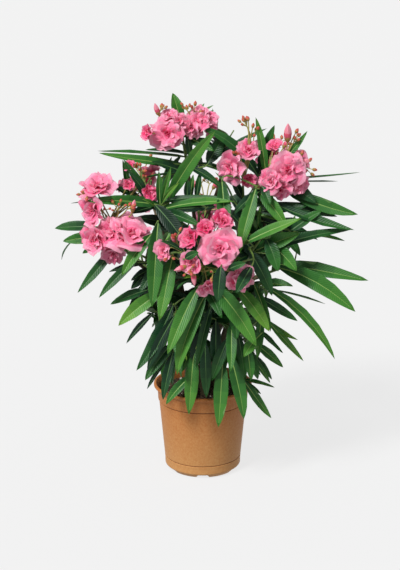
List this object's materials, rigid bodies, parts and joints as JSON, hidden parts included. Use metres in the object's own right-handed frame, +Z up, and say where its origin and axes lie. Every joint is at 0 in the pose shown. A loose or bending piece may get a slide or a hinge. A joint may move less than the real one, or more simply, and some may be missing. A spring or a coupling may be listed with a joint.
{
  "type": "potted oleander",
  "caption": "Flowering evergreen shrub of many woody canes with long narrow leaves in whorls and trusses of double pink blooms, standing in a round plastic nursery pot.",
  "frame": {"origin": "middle of the pot's flat underside, at the level that the foot ring and the middle pad stand on", "axes": "+Z up along the pot's axis, -Y towards the side of the plant that faces the viewer, +X to that viewer's right"},
  "size_m": [0.462, 0.3985, 0.5762],
  "materials": {
    "pot_plastic": "terracotta-coloured moulded polypropylene, faintly satin",
    "potting_soil": "moist dark peat with fibres and perlite grains",
    "bark": "smooth grey-olive bark with fine lengthwise cracks and lenticels",
    "foliage": "leathery deep green leaf, satin, with a pale midrib",
    "blossom": "soft pink petals with deeper pink hearts on green stalks"
  },
  "bodies": {
    "root": {"bough_back_left": "bark", "bough_back_low_left": "bark", "bough_back_low_right": "bark", "bough_back_mid": "bark", "bough_back_right": "bark", "bough_centre": "bark", "bough_left": "bark", "bough_left_low": "bark", "bough_low_front": "bark", "bough_low_front_left": "bark", "bough_low_front_right": "bark", "bough_low_left": "bark", "bough_low_right": "bark", "bough_mid_high": "bark", "bough_mid_right": "bark", "bough_right": "bark", "bough_top_right": "bark", "cane_back_left_high": "bark", "cane_back_right_high": "bark", "cane_front": "bark", "cane_left_high": "bark", "cane_right_high": "bark", "cane_top": "bark", "foliage_back_left": "foliage", "foliage_back_left_high": "foliage", "foliage_back_low_left": "foliage", "foliage_back_low_right": "foliage", "foliage_back_mid": "foliage", "foliage_back_right": "foliage", "foliage_back_right_high": "foliage", "foliage_centre": "foliage", "foliage_front": "foliage", "foliage_left": "foliage", "foliage_left_high": "foliage", "foliage_left_low": "foliage", "foliage_low_front": "foliage", "foliage_low_front_left": "foliage", "foliage_low_front_right": "foliage", "foliage_low_left": "foliage", "foliage_low_right": "foliage", "foliage_mid_high": "foliage", "foliage_mid_right": "foliage", "foliage_right": "foliage", "foliage_right_high": "foliage", "foliage_top": "foliage", "foliage_top_right": "foliage", "pot": "pot_plastic", "soil": "potting_soil", "truss_back_left": "blossom", "truss_back_mid": "blossom", "truss_back_right": "blossom", "truss_front": "blossom", "truss_left": "blossom", "truss_mid": "blossom", "truss_right": "blossom", "truss_top_left": "blossom", "truss_top_right": "blossom"}
  },
  "joints": []
}
